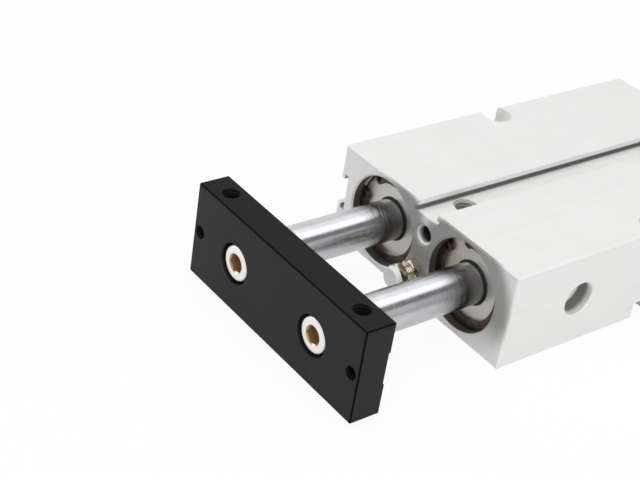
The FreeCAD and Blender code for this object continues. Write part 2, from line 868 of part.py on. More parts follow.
def makeStop():
    # lock nut on the body's face, and the bolt with its bumper ahead of it
    nut = startBody("stop_lock_nut", frontFace, 0, size.stopHeight, stopTurns["nut"])
    bore = size.stopDia / 2 + size.threadGap
    drawHexNut(nut, size.stopNutAcross, size.stopNutThick, bore)
    breakCorners(nut, "FrontCorners", size.stopNutAcross, size.stopNutThick, -1)
    breakCorners(nut, "RearCorners", size.stopNutAcross, 0, 1)
    seat = frontFace + size.stopNutThick + size.stopNutGap
    bolt = startBody("stop_bolt", seat, 0, size.stopHeight, stopTurns["bolt"])
    sketch = startSketch(bolt, "Hexagon", "YZ_Plane")
    addHexagon(sketch, size.stopHeadAcross)
    pad(bolt, sketch, "Head", size.stopHeadThick)
    breakCorners(bolt, "FrontCorners", size.stopHeadAcross, size.stopHeadThick, -1)
    breakCorners(bolt, "RearCorners", size.stopHeadAcross, 0, 1)
    radius = size.stopDia / 2
    tail = -(size.stopNutThick + size.stopNutGap + size.stopShank)
    turned(bolt, "Shank", [
        (0, 0),
        (0, radius),
        (tail + size.edgeBreak, radius),
        (tail, radius - size.edgeBreak),
        (tail, 0),
    ])
    plug = size.bumperPlugDia / 2
    thick = size.stopHeadThick
    turnedCut(bolt, "PlugHole", [
        (thick, 0),
        (thick, plug),
        (thick - size.bumperPlugDepth, plug),
        (thick - size.bumperPlugDepth, 0),
    ])
    bumper = startBody("stop_bumper", seat + thick, 0, size.stopHeight)
    turned(bumper, "Pad", [
        (-size.bumperPlugDepth, 0),
        (-size.bumperPlugDepth, plug),
        (0, plug),
        (0, size.bumperDia / 2),
        (size.bumperThick, size.bumperDia / 2),
        (size.bumperThick, 0),
    ])
    dress(bumper, "Fillet", "Dome", size.bumperRound, isBumperRim)


def isBumperRim(edge):
    box = edge.BoundBox
    return box.XLength < 0.01 and abs(box.XMin - size.bumperThick.value) < 0.01 and box.YLength > 1


def checkAndWrite():
    doc.recompute()
    for item in doc.Objects:
        if "Invalid" in item.State or "Error" in item.State:
            raise RuntimeError("%s failed: %s" % (item.Name, item.State))
    os.makedirs("parts", exist_ok=True)
    for body in parts:
        shape = body.Shape
        if shape.isNull() or not shape.isValid() or len(shape.Solids) != 1:
            raise RuntimeError("%s isn't one sound solid" % body.Label)
        shape.exportStep("parts/%s.step" % body.Label)


makeCylinderBody()
makeEndPlate()
for label, side in sides.items():
    makeRod(label, side)
    makePlateScrew(label, side)
    makeRodCover(label, side)
    makePiston(label, side)
    makeRearCap(label, side)
    makeSnapRing("front_snap_ring_" + label, "Front", side, clipTurns[label])
    makeSnapRing("rear_snap_ring_" + label, "Rear", side, rearClipTurns[label])
makeStop()
checkAndWrite()
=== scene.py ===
import math
import bmesh
import bpy
from mathutils import Euler, Matrix, Vector


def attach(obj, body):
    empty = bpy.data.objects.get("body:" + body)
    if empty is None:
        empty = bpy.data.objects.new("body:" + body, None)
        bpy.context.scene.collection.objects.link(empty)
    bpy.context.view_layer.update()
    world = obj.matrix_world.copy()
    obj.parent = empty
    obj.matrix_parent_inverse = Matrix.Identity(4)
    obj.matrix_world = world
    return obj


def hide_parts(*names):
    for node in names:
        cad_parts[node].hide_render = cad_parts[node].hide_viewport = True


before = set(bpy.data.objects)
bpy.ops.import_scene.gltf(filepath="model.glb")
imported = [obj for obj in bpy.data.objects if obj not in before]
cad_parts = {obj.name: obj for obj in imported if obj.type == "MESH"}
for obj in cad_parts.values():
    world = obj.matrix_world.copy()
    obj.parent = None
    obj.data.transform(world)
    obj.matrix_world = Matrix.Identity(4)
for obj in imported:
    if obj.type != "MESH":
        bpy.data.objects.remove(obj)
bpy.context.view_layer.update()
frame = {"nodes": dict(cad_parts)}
nodes = frame["nodes"]
scene = bpy.context.scene
print("frame loaded:", len(nodes), "nodes")

# +X out of the front, +Y to the port side, +Z up; looks and places in metres, shapes in millimetres
mm = 0.001
boreAxis = {"y": 14.6 * mm, "z": 12.5 * mm}


class Value:
    # a node's output, so that node maths reads as plain sums
    def __init__(self, tree, socket):
        self.tree = tree
        self.socket = socket

    def reckon(self, operation, *others, flipped=False):
        terms = [self, *others]
        if flipped:
            terms.reverse()
        return self.tree.node("ShaderNodeMath", {"operation": operation}, dict(enumerate(terms)))

    def __add__(self, other):
        return self.reckon("ADD", other)

    def __radd__(self, other):
        return self.reckon("ADD", other)

    def __sub__(self, other):
        return self.reckon("SUBTRACT", other)

    def __rsub__(self, other):
        return self.reckon("SUBTRACT", other, flipped=True)

    def __mul__(self, other):
        return self.reckon("MULTIPLY", other)

    def __rmul__(self, other):
        return self.reckon("MULTIPLY", other)

    def __truediv__(self, other):
        return self.reckon("DIVIDE", other)

    def __gt__(self, other):
        return self.reckon("GREATER_THAN", other)

    def __lt__(self, other):
        return self.reckon("LESS_THAN", other)

    def most(self, other):
        return self.reckon("MAXIMUM", other)

    def least(self, other):
        return self.reckon("MINIMUM", other)

    def size(self):
        return self.reckon("ABSOLUTE")

    def root(self):
        return self.reckon("SQRT")

    def clamped(self):
        return self.tree.node("ShaderNodeClamp", {}, {"Value": self})

    def inside(self, low, high):
        # 1 between low and high, 0 elsewhere
        return (self > low) * (self < high)

    def between(self, low, high):
        # 0 at low, 1 at high, held outside
        return self.tree.node("ShaderNodeMapRange", {"interpolation_type": "SMOOTHSTEP"},
                              {"Value": self, "From Min": low, "From Max": high})

    def spread(self, low, high):
        # low where this is 0, high where it is 1
        return self * (high - low) + low


class Tree:
    # one node tree, with the single method that adds any node to it
    def __init__(self, tree):
        self.tree = tree

    def node(self, kind, settings=None, inputs=None, output=0):
        made = self.tree.nodes.new(kind)
        for key, amount in (settings or {}).items():
            if key == "stops":
                ramp = made.color_ramp
                while len(ramp.elements) < len(amount):
                    ramp.elements.new(1)
                for element, (place, colour) in zip(ramp.elements, amount):
                    element.position = place
                    element.color = (*colour, 1)
            else:
                setattr(made, key, amount)
        for key, amount in (inputs or {}).items():
            self.feed(made.inputs[key], amount)
        return Value(self, made.outputs[output])

    def feed(self, socket, amount):
        if isinstance(amount, Value):
            self.tree.links.new(amount.socket, socket)
        elif isinstance(amount, tuple) and len(amount) == 3 and socket.type == "RGBA":
            socket.default_value = (*amount, 1)
        else:
            socket.default_value = amount

    def split(self, vector):
        return [self.node("ShaderNodeSeparateXYZ", {}, {0: vector}, index) for index in range(3)]

    def joined(self, x, y, z):
        return self.node("ShaderNodeCombineXYZ", {}, {0: x, 1: y, 2: z})

    def mixed(self, mask, first, second):
        return self.node("ShaderNodeMix", {"data_type": "RGBA"}, {0: mask, 6: first, 7: second}, 2)


class Finish(Tree):
    # one material, its shader and the things that most finishes need
    sockets = {"colour": "Base Color", "roughness": "Roughness", "metallic": "Metallic", "normal": "Normal"}

    def __init__(self, name, fixed):
        self.material = bpy.data.materials.new(name)
        self.material.use_nodes = True
        super().__init__(self.material.node_tree)
        self.shader = self.tree.nodes["Principled BSDF"]
        for key, amount in fixed.items():
            self.feed(self.shader.inputs[key], amount)
        self.place = self.node("ShaderNodeTexCoord", {}, {}, 3)

    def set(self, **links):
        for key, amount in links.items():
            self.feed(self.shader.inputs[self.sockets[key]], amount)
        return self.material

    def noise(self, scale, detail, stretch=(1, 1, 1), roughness=0.55):
        place = self.node("ShaderNodeMapping", {}, {"Vector": self.place, "Scale": stretch})
        return self.node("ShaderNodeTexNoise", {}, {"Vector": place, "Scale": scale, "Detail": detail,
                                                    "Roughness": roughness})

    def mottled(self, look, *patterns):
        # the look's two colours, mixed by its shares of the patterns
        terms = [pattern * share for pattern, share in zip(patterns, look["shares"])]
        return self.mixed(sum(terms[1:], terms[0]).between(*look["contrast"]), *look["colours"])

    def bump(self, height, strength, distance):
        return self.node("ShaderNodeBump", {}, {"Height": height, "Strength": strength, "Distance": distance})

    def boreRadius(self):
        # distance from the nearer bore's axis
        y, z = self.split(self.place)[1:]
        return self.reach(y.size() - boreAxis["y"], z - boreAxis["z"])

    def reach(self, across, up):
        return (across * across + up * up).root()

    def within(self, distance, limit, soft=0.06 * mm):
        # 1 where the distance is under the limit
        return distance.between(limit + soft, limit - soft)


# in every look: "fixed" shader inputs, the two "colours" and how they mix, "roughness" from and to,
# "bump" strength and distance, and the scale, detail and stretch of each noise

# extruded body, satin silver anodising: fine draw lines along X, faint grain, and painted shade in the cut
# recesses, groove undercuts and holes and on the front face round the bores
bodyLook = {
    "fixed": {"Specular IOR Level": 0.3},
    "colours": ((0.805, 0.805, 0.795), (0.84, 0.84, 0.83)),
    "shares": (0.35, 0.35, 0.3),
    "contrast": (0.35, 0.65),
    "grain": (1700, 4.0),
    "drawLines": (900, 2.0, (0.02, 1, 1)),
    "cloud": (60, 2.0),
    "metallic": 0.06,
    "roughness": (0.43, 0.53),
    "bump": (0.12, 0.04 * mm),
    "bumpShares": (0.6, 0.4),
    # from here on, the colours are painted shade: in the bore recesses, the groove undercuts, the holes, deep
    # in the holes and passages, on the tapped port walls and on the front face round the bores
    "recess": (0.1, 0.09, 0.075),
    "undercutShade": (0.28, 0.28, 0.275),
    "hole": (0.45, 0.44, 0.42),
    "deepShade": (0.05, 0.048, 0.046),
    "tappedShade": (0.25, 0.245, 0.23),
    "frontShade": (0.27, 0.268, 0.262),
    "frontShadeShare": 0.88,
}
# where the painted shades of the body lie; a pair gives where a shade starts and where it is full, or its two
# ends
bodyPlaces = {
    "mouthRadius": 11.35 * mm,
    "mouthFront": (46.65 * mm, 46.45 * mm),
    "mouthRear": (-49.15 * mm, -48.95 * mm),
    "front": 46.6 * mm,
    "frontShadeReach": (18.2 * mm, 14.2 * mm),
    "frontShadeSide": (-20 * mm, -9 * mm),
    "frontShadeHeight": (0, 12.5 * mm),
    "undercutFrom": (3.15 * mm, 3.65 * mm),
    "undercutEnd": 4.7 * mm,
    "undercutTop": (22.35 * mm, 23.75 * mm),
    "undercutSide": (-29.75 * mm, -28.35 * mm),
    "floorHole": 34.7 * mm,
    "floorHoleRadius": 3.12 * mm,
    "floorHoleTop": 22.38 * mm,
    "upperHole": 17.6 * mm,
    "upperHoleRadius": 2.95 * mm,
    "upperHoleEnd": 30 * mm,
    "upperHoleDark": (46.5 * mm, 44.8 * mm),
    "passages": (26.1 * mm, -28.6 * mm),
    "passageRadius": 1.85 * mm,
    "ports": (24.2 * mm, -26.7 * mm),
    "portRadius": 4.8 * mm,
    "portRim": 30.55 * mm,
    "portDark": (30.0 * mm, 28.6 * mm),
    "portSeat": 26.5 * mm,
}


def makeBodyFinish():
    look, at = bodyLook, bodyPlaces
    finish = Finish("bodySatin", look["fixed"])
    x, y, z = finish.split(finish.place)
    grain, lines, cloud = [finish.noise(*look[key]) for key in ("grain", "drawLines", "cloud")]
    colour = finish.mottled(look, grain, lines, cloud)
    # painted shade in the cut recesses at the mouths of the bores
    ends = x.between(*at["mouthFront"]).least(x.between(*at["mouthRear"]))
    recess = finish.within(finish.boreRadius(), at["mouthRadius"]) * ends
    colour = finish.mixed(recess, colour, look["recess"])
    # painted shade on the front face round the bores, fading towards the base and to the left
    frontShade = finish.boreRadius().between(*at["frontShadeReach"]) * (x > at["front"]) * y.between(*at["frontShadeSide"])
    frontShade = frontShade * z.between(*at["frontShadeHeight"]) * look["frontShadeShare"]
    colour = finish.mixed(frontShade, colour, look["frontShade"])
    # painted shade in the undercuts of both sensor grooves
    across, up = y.size(), (z - boreAxis["z"]).size()
    top = across.between(*at["undercutFrom"]) * (across < at["undercutEnd"]) * z.inside(*at["undercutTop"])
    side = up.between(*at["undercutFrom"]) * (up < at["undercutEnd"]) * y.inside(*at["undercutSide"])
    under = top.most(side)
    colour = finish.mixed(under, colour, look["undercutShade"])
    # painted shade in the drilled holes: lighter in the floor hole, dark deeper in the upper hole and in the
    # port passages
    floorHole = finish.within(finish.reach(x - at["floorHole"], y), at["floorHoleRadius"])
    floorHole = floorHole * (z < at["floorHoleTop"])
    upperHole = finish.within(finish.reach(y, z - at["upperHole"]), at["upperHoleRadius"])
    upperHole = upperHole * (x > at["upperHoleEnd"]) * x.between(*at["upperHoleDark"])
    front, rear = [finish.reach(x - place, z - boreAxis["z"]) for place in at["passages"]]
    passage = finish.within(front.least(rear), at["passageRadius"]) * (y > 0)
    colour = finish.mixed(floorHole, colour, look["hole"])
    deepShade = upperHole.most(passage) * (y < at["portRim"])
    colour = finish.mixed(deepShade, colour, look["deepShade"])
    # painted shade on the tapped walls of the ports, darker with depth
    front, rear = [finish.reach(x - place, z - boreAxis["z"]) for place in at["ports"]]
    tappedShade = finish.within(front.least(rear), at["portRadius"])
    tappedShade = tappedShade * y.between(*at["portDark"]) * (y > at["portSeat"])
    colour = finish.mixed(tappedShade, colour, look["tappedShade"])
    # the metallic share drops where shade is painted
    dark = recess.most(under).most(floorHole).most(deepShade)
    height = grain * look["bumpShares"][0] + lines * look["bumpShares"][1]
    return finish.set(colour=colour, roughness=grain.spread(*look["roughness"]),
                      normal=finish.bump(height, *look["bump"]), metallic=look["metallic"] * (1 - dark))


# end plate, black anodised: fine blasted grain, duller milled top and base, black broken edges
plateLook = {
    "fixed": {"Metallic": 0.0, "Specular IOR Level": 0.12},
    "colours": ((0.012, 0.012, 0.013), (0.018, 0.018, 0.02)),
    "shares": (0.5, 0.5),
    "contrast": (0.35, 0.65),
    "grain": (2600, 4.0),
    "cloud": (90, 3.0),
    "roughness": (0.34, 0.46),
    "bump": (0.18, 0.03 * mm),
    "milled": (0.012, 0.012, 0.0125),
    "milledRough": 0.75,
    "edge": (0.001, 0.001, 0.001),
    "edgeRough": 0.95,
}
# the box inside the broken edges; an edge lies past it in more than one direction
platePlaces = {"middle": (85 * mm, 0, 12.5 * mm), "half": (3.67 * mm, 30.67 * mm, 11.67 * mm), "pastOne": 1.5}


def makePlateFinish():
    look, at = plateLook, platePlaces
    finish = Finish("plateBlack", look["fixed"])
    grain, cloud = finish.noise(*look["grain"]), finish.noise(*look["cloud"])
    colour = finish.mottled(look, grain, cloud)
    past = [(along - middle).size() > half for along, middle, half in
            zip(finish.split(finish.place), at["middle"], at["half"])]
    milled, edge = past[2], past[0] + past[1] + past[2] > at["pastOne"]
    colour = finish.mixed(milled, colour, look["milled"])
    colour = finish.mixed(edge, colour, look["edge"])
    rough = cloud.spread(*look["roughness"])
    rough = rough + milled * (look["milledRough"] - rough)
    rough = rough + edge * (look["edgeRough"] - rough)
    return finish.set(colour=colour, roughness=rough, normal=finish.bump(grain, *look["bump"]))


# rods, hard chrome over ground steel: faint grinding lines round the rod, duller at the cover, and painted dark
# reflection and shade on the colour near the cover
rodLook = {
    "fixed": {"Metallic": 1.0},
    "colours": ((0.54, 0.545, 0.565), (0.6, 0.605, 0.62)),
    "shares": (1,),
    "contrast": (0.35, 0.65),
    "grindLines": (9000, 2.0, (1, 0.02, 0.02)),
    "cloud": (120, 2.0),
    "roughness": (0.12, 0.17),
    "bump": (1.0, 0.035 * mm),
    # painted dark reflection and shade near the cover, and where it lies
    "coverShade": (0.24, 0.24, 0.255),
    "coverShadePlace": (49 * mm, 44 * mm),
    "dull": 0.1,
    "dullPlace": (52 * mm, 46 * mm),
}


def makeRodFinish():
    look = rodLook
    finish = Finish("rodChrome", look["fixed"])
    lines, cloud = finish.noise(*look["grindLines"]), finish.noise(*look["cloud"])
    x = finish.split(finish.place)[0]
    # the colour darkens towards the cover: painted dark reflection and shade
    colour = finish.mixed(x.between(*look["coverShadePlace"]), finish.mottled(look, cloud), look["coverShade"])
    rough = lines.spread(*look["roughness"]) + x.between(*look["dullPlace"]) * look["dull"]
    return finish.set(colour=colour, roughness=rough, normal=finish.bump(lines, *look["bump"]))


# turned covers and rear caps, warm grey: rings left by the lathe, one to each feed
coverLook = {
    "fixed": {"Metallic": 0.8},
    "colours": ((0.56, 0.55, 0.515), (0.68, 0.67, 0.63)),
    "shares": (0.5, 0.5),
    "contrast": (0.2, 0.8),
    "feed": 0.16 * mm,
    "grain": (1500, 3.0),
    "roughness": (0.31, 0.41),
    "bump": (0.15, 0.02 * mm),
}


def makeCoverFinish():
    look = coverLook
    finish = Finish("coverTurned", look["fixed"])
    # the sine of the rings, brought from -1 and 1 to 0 and 1
    rings = (finish.boreRadius() * (2 * math.pi / look["feed"])).reckon("SINE") * 0.5 + 0.5
    grain = finish.noise(*look["grain"])
    return finish.set(colour=finish.mottled(look, rings, grain), roughness=grain.spread(*look["roughness"]),
                      normal=finish.bump(rings, *look["bump"]))


# snap rings, phosphated spring steel
snapLook = {
    "fixed": {"Metallic": 0.75},
    "colours": ((0.04, 0.027, 0.021), (0.11, 0.076, 0.058)),
    "shares": (0.5, 0.5),
    "contrast": (0.35, 0.7),
    "grain": (1800, 4.0),
    "cloud": (350, 2.0),
    "roughBy": "cloud",
    "roughness": (0.26, 0.42),
    "bump": (0.2, 0.02 * mm),
}

# wipers, seals and sealing rings
rubberLook = {
    "fixed": {"Metallic": 0.0, "Specular IOR Level": 0.4},
    "colours": ((0.012, 0.012, 0.012), (0.028, 0.027, 0.026)),
    "shares": (1,),
    "contrast": (0.4, 0.7),
    "grain": (2200, 3.0),
    "roughness": (0.5, 0.6),
    "bump": (0.15, 0.02 * mm),
}

# nickel plated steel: the stop bolt and nuts are warm, the plate screws paler with a golden socket
nickelLook = {
    "shares": (0.4, 0.6),
    "contrast": (0.35, 0.65),
    "grain": (1600, 4.0),
    "cloud": (400, 2.0),
    "bump": (0.06, 0.01 * mm),
}
stopLook = {
    **nickelLook,
    "fixed": {"Metallic": 1.0},
    "colours": ((0.5, 0.43, 0.33), (0.72, 0.66, 0.56)),
    "roughness": (0.14, 0.22),
}
screwLook = {
    **nickelLook,
    "fixed": {"Metallic": 0.6},
    "colours": ((0.95, 0.925, 0.89), (0.98, 0.96, 0.93)),
    "roughness": (0.26, 0.34),
    "socket": (0.46, 0.32, 0.16),
    "socketRadius": 2.42 * mm,
}

# bumper, white urethane
bumperLook = {
    "fixed": {"Metallic": 0.0, "Subsurface Weight": 0.15, "Subsurface Scale": 0.8 * mm},
    "colours": ((0.95, 0.95, 0.93), (0.98, 0.98, 0.965)),
    "shares": (1,),
    "contrast": (0.3, 0.7),
    "grain": (1300, 2.0),
    "roughness": (0.38, 0.46),
    "bump": (0.1, 0.02 * mm),
}

# what lies inside the bores
insideLook = {"shares": (1,), "contrast": (0.35, 0.65), "grain": (1500, 3.0), "bump": (0.12, 0.02 * mm)}
insideLooks = {
    "bushBronze": {"fixed": {"Metallic": 0.9}, "roughness": (0.4, 0.5),
                   "colours": ((0.42, 0.27, 0.12), (0.58, 0.4, 0.2))},
    "pistonTurned": {"fixed": {"Metallic": 0.9}, "roughness": (0.28, 0.38),
                     "colours": ((0.6, 0.6, 0.6), (0.74, 0.74, 0.73))},
    "wearResin": {"fixed": {"Metallic": 0.0}, "roughness": (0.45, 0.55),
                  "colours": ((0.7, 0.66, 0.58), (0.8, 0.77, 0.7))},
    "magnetDark": {"fixed": {"Metallic": 0.2}, "roughness": (0.55, 0.65),
                   "colours": ((0.06, 0.06, 0.065), (0.1, 0.1, 0.11))},
    "cushionAmber": {"fixed": {"Metallic": 0.0}, "roughness": (0.4, 0.5),
                     "colours": ((0.3, 0.2, 0.06), (0.4, 0.28, 0.1))},
}


def makePlainFinish(name, look):
    finish = Finish(name, look["fixed"])
    patterns = {key: finish.noise(*look[key]) for key in ("grain", "cloud") if key in look}
    colour = finish.mottled(look, *patterns.values())
    if "socket" in look:
        socket = finish.within(finish.boreRadius(), look["socketRadius"])
        colour = finish.mixed(socket, colour, look["socket"])
    rough = patterns[look.get("roughBy", "grain")].spread(*look["roughness"])
    return finish.set(colour=colour, roughness=rough, normal=finish.bump(patterns["grain"], *look["bump"]))


finishes = {
    "body": makeBodyFinish(), "plate": makePlateFinish(), "rod": makeRodFinish(), "cover": makeCoverFinish(),
    "snap": makePlainFinish("snapBrown", snapLook), "rubber": makePlainFinish("rubberBlack", rubberLook),
    "stop": makePlainFinish("stopNickel", stopLook), "screw": makePlainFinish("screwNickel", screwLook),
    "bumper": makePlainFinish("bumperWhite", bumperLook),
    **{name: makePlainFinish(name, {**insideLook, **look}) for name, look in insideLooks.items()},
}
nodeFinishes = {
    "cylinder_body": "body", "end_plate": "plate", "rod": "rod", "rod_cover": "cover", "rear_cap": "cover",
    "front_snap_ring": "snap", "rear_snap_ring": "snap", "rod_wiper": "rubber", "rod_seal": "rubber",
    "cover_ring": "rubber", "cap_ring": "rubber", "piston_seal": "rubber", "stop_bolt": "stop",
    "stop_lock_nut": "stop", "piston_nut": "stop", "plate_screw": "screw", "stop_bumper": "bumper",
    "guide_bush": "bushBronze", "piston": "pistonTurned", "wear_ring": "wearResin", "magnet_ring": "magnetDark",
    "front_cushion": "cushionAmber", "rear_cushion": "cushionAmber",
}
for name, item in nodes.items():
    kind = name.removesuffix("_left").removesuffix("_right")
    item.data.materials.clear()
    item.data.materials.append(finishes[nodeFinishes[kind]])
print("finishes set:", len(finishes))


def addPiece(name, mesh, finish, body):
    item = bpy.data.objects.new(name, mesh)
    scene.collection.objects.link(item)
    if not mesh.materials:
        mesh.materials.append(finishes[finish])
    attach(item, body)
    return item


def turnedMesh(name, rings, segments, looped=False, sharp=30):
    # rings about the X axis: (place, radius) in millimetres, where either may be a function of the angle
    mesh = bpy.data.meshes.new(name)
    shape = bmesh.new()
    rows = []
    for place, radius in rings:
        if radius == 0:
            rows.append([shape.verts.new((place * mm, 0, 0))] * segments)
            continue
        row = []
        for number in range(segments):
            angle = 2 * math.pi * number / segments
            far = radius(angle) if callable(radius) else radius
            along = place(angle) if callable(place) else place
            corner = (along * mm, far * math.cos(angle) * mm, far * math.sin(angle) * mm)
            row.append(shape.verts.new(corner))
        rows.append(row)
    if looped:
        rows.append(rows[0])
    for first, second in zip(rows, rows[1:]):
        for number in range(segments):
            after = (number + 1) % segments
            corners = [first[number], first[after], second[after], second[number]]
            corners = [corner for place, corner in enumerate(corners) if corner not in corners[:place]]
            shape.faces.new(corners)
    bmesh.ops.recalc_face_normals(shape, faces=shape.faces)
    for face in shape.faces:
        face.smooth = True
    shape.to_mesh(mesh)
    shape.free()
    mesh.set_sharp_from_angle(angle=math.radians(sharp))
    return mesh


def hexRadius(across, turn):
    # distance from the axis to a hexagon's side, as a function of the angle
    def radius(angle):
        return across / 2 / math.cos((angle - math.radians(turn)) % math.radians(60) - math.radians(30))
    return radius


def brokenEnd(place, across, turn, crown, slope, way):
    # end of a hexagon whose corners are turned off by a cone that starts at the crown's radius
    side = hexRadius(across, turn)
    return lambda angle: place - way * max(0.0, side(angle) - crown) * slope


def placed(mesh, y, z):
    mesh.transform(Matrix.Translation((0, y * mm, z * mm)))
    return mesh


def newNodes(name, inputs):
    # a geometry node tree with the given inputs: all numbers but the seed mesh and the material
    group = bpy.data.node_groups.new(name, "GeometryNodeTree")
    kinds = {"seed": "NodeSocketGeometry", "material": "NodeSocketMaterial"}
    for title in inputs:
        kind = kinds.get(title, "NodeSocketFloat")
        group.interface.new_socket(title, in_out="INPUT", socket_type=kind)
    group.interface.new_socket("mesh", in_out="OUTPUT", socket_type="NodeSocketGeometry")
    tree = Tree(group)
    ends = group.nodes.new("NodeGroupInput")
    given = {title: Value(tree, ends.outputs[title]) for title in inputs}
    return group, tree, given


def closeNodes(group, tree, mesh):
    end = group.nodes.new("NodeGroupOutput")
    tree.feed(end.inputs["mesh"], mesh)
    return group


threadShape = {"stepsPerTurn": 28, "sides": 4}


def makeThreadNodes():
    # a ridge wound about Z from the origin up: a thin four-sided section along a spiral
    group, tree, given = newNodes("threadRidge", ("radius", "pitch", "length", "ridge"))
    turns = given["length"] / given["pitch"]
    spiral = tree.node("GeometryNodeCurveSpiral", {}, {
        "Resolution": threadShape["stepsPerTurn"], "Rotations": turns, "Start Radius": given["radius"],
        "End Radius": given["radius"], "Height": given["length"]})
    upright = tree.node("GeometryNodeSetCurveNormal", {"mode": "Z_UP"}, {"Curve": spiral})
    section = tree.node("GeometryNodeCurvePrimitiveCircle", {}, {
        "Resolution": threadShape["sides"], "Radius": given["ridge"]})
    ridge = tree.node("GeometryNodeCurveToMesh", {}, {
        "Curve": upright, "Profile Curve": section, "Fill Caps": True})
    return closeNodes(group, tree, ridge)


def makeThreadsNodes(name, holes, thread):
    # one ridge for each tapped hole, turned and moved to its place
    group, tree, given = newNodes(name, ("seed", "pitch", "ridge", "material"))
    joint = group.nodes.new("GeometryNodeJoinGeometry")
    for radius, length, place, turn, share in holes:
        ridge = group.nodes.new("GeometryNodeGroup")
        ridge.node_tree = thread
        for title, amount in (("radius", radius * mm), ("pitch", given["pitch"] * share),
                              ("length", length * mm), ("ridge", given["ridge"])):
            tree.feed(ridge.inputs[title], amount)
        moved = tree.node("GeometryNodeTransform", {}, {"Geometry": Value(tree, ridge.outputs[0]),
                          "Translation": [step * mm for step in place],
                          "Rotation": [math.radians(angle) for angle in turn]})
        tree.feed(joint.inputs[0], moved)
    solid = tree.node("GeometryNodeRealizeInstances", {}, {"Geometry": Value(tree, joint.outputs[0])})
    done = tree.node("GeometryNodeSetMaterial", {}, {"Geometry": solid, "Material": given["material"]})
    return closeNodes(group, tree, done)


def makePairNodes():
    # the seed, set down once at each end of a line across the part
    group, tree, given = newNodes("pair", ("seed", "half", "height", "material"))
    start = tree.joined(0.0, 0 - given["half"], given["height"])
    step = tree.joined(0.0, given["half"] * 2, 0.0)
    line = tree.node("GeometryNodeMeshLine", {}, {"Count": 2, "Start Location": start, "Offset": step})
    both = tree.node("GeometryNodeInstanceOnPoints", {}, {"Points": line, "Instance": given["seed"]})
    solid = tree.node("GeometryNodeRealizeInstances", {}, {"Geometry": both})
    done = tree.node("GeometryNodeSetMaterial", {}, {"Geometry": solid, "Material": given["material"]})
    return closeNodes(group, tree, done)


def grow(name, group, seed, amounts):
    # runs a node tree on a seed mesh and keeps the plain mesh that comes out
    holder = bpy.data.objects.new(name + "Holder", seed)
    scene.collection.objects.link(holder)
    modifier = holder.modifiers.new("nodes", "NODES")
    modifier.node_group = group
    for item in group.interface.items_tree:
        if item.in_out == "INPUT" and item.name in amounts:
            modifier[item.identifier] = amounts[item.name]
    seen = holder.evaluated_get(bpy.context.evaluated_depsgraph_get())
    mesh = bpy.data.meshes.new_from_object(seen)
    mesh.name = name
    bpy.data.objects.remove(holder)
    return mesh


# plate screws: rounded head, chamfered hexagon socket with a drilled floor
screwShape = {
    "tip": 69.6, "tipChamfer": 0.4, "shank": 2.5,
    "seat": 83.6, "top": 88.6, "head": 4.25, "round": 0.55, "roundSteps": 4,
    "socketAcross": 4.0, "turn": 12, "socketMouth": 2.4, "mouthSlope": 0.8,
    "socketFloor": 86.1, "floorTip": 0.7, "segments": 72,
}


def makePlateScrews(pair):
    look = screwShape
    socket = hexRadius(look["socketAcross"], look["turn"])
    top, head, bend = look["top"], look["head"], look["round"]
    rings = [(look["tip"], 0), (look["tip"], look["shank"] - look["tipChamfer"]),
             (look["tip"] + look["tipChamfer"], look["shank"]),
             (look["seat"], look["shank"]), (look["seat"], head)]
    for step in range(look["roundSteps"] + 1):
        angle = math.radians(90 * step / look["roundSteps"])
        rings.append((top - bend + bend * math.sin(angle), head - bend + bend * math.cos(angle)))
    rings += [(top, look["socketMouth"]),
              (lambda angle: top - (look["socketMouth"] - socket(angle)) * look["mouthSlope"], socket),
              (look["socketFloor"], socket), (look["socketFloor"] - look["floorTip"], 0)]
    seed = turnedMesh("screwSeed", rings, look["segments"])
    mesh = grow("plateScrews", pair, seed, {"half": boreAxis["y"], "height": boreAxis["z"],
                                            "material": finishes["screw"]})
    screws = addPiece("plateScrews", mesh, "screw", "slide_unit")
    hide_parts("plate_screw_left", "plate_screw_right")


# stop bolt and lock nut: hexagons with turned-off corners, real thread on the shank
stopShape = {
    "height": 7.8, "across": 5.5, "crown": 2.5, "slope": 0.75, "segments": 96,
    "head": (51.4, 53.4), "turn": 36, "nut": (47.0, 49.4), "nutTurn": 38, "nutGap": 0.05,
    "tail": 36.0, "tailChamfer": 0.2, "core": 1.24, "crest": 1.5, "pitch": 0.5, "threadInset": 0.4,
}


def hexEnds(look, ends, turn):
    # both ends of a hexagon with its corners turned off, from one crown to the other
    low, high = ends
    side = hexRadius(look["across"], turn)
    return [(low, look["crown"]),
            (brokenEnd(low, look["across"], turn, look["crown"], look["slope"], -1), side),
            (brokenEnd(high, look["across"], turn, look["crown"], look["slope"], 1), side),
            (high, look["crown"])]


def makeStop(thread):
    look = stopShape
    (low, high), tail, core = look["head"], look["tail"], look["core"]
    rings = [(tail, 0), (tail, core - look["tailChamfer"]), (tail + look["tailChamfer"], core), (low, core),
             *hexEnds(look, look["head"], look["turn"]), (high, 0)]
    bolt = placed(turnedMesh("stopBoltHead", rings, look["segments"]), 0, look["height"])
    start, length = tail + look["threadInset"], low - tail - 2 * look["threadInset"]
    holes = [(core, length, (start, 0, look["height"]), (0, 90, 0), 1.0)]
    nodes = makeThreadsNodes("stopThread", holes, thread)
    ridge = grow("stopThread", nodes, bpy.data.meshes.new("stopSeed"),
                 {"pitch": look["pitch"] * mm, "ridge": (look["crest"] - core) * mm,
                  "material": finishes["stop"]})
    head = addPiece("stopBolt", bolt, "stop", "stop_screw")
    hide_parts("stop_bolt")
    addPiece("stopThread", ridge, "stop", "stop_screw")
    low, high = look["nut"]
    bore = look["crest"] + look["nutGap"]
    rings = [(low, bore), *hexEnds(look, look["nut"], look["nutTurn"]), (high, bore)]
    ring = placed(turnedMesh("stopNut", rings, look["segments"], True), 0, look["height"])
    nut = addPiece("stopNut", ring, "stop", "housing")
    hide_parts("stop_lock_nut")


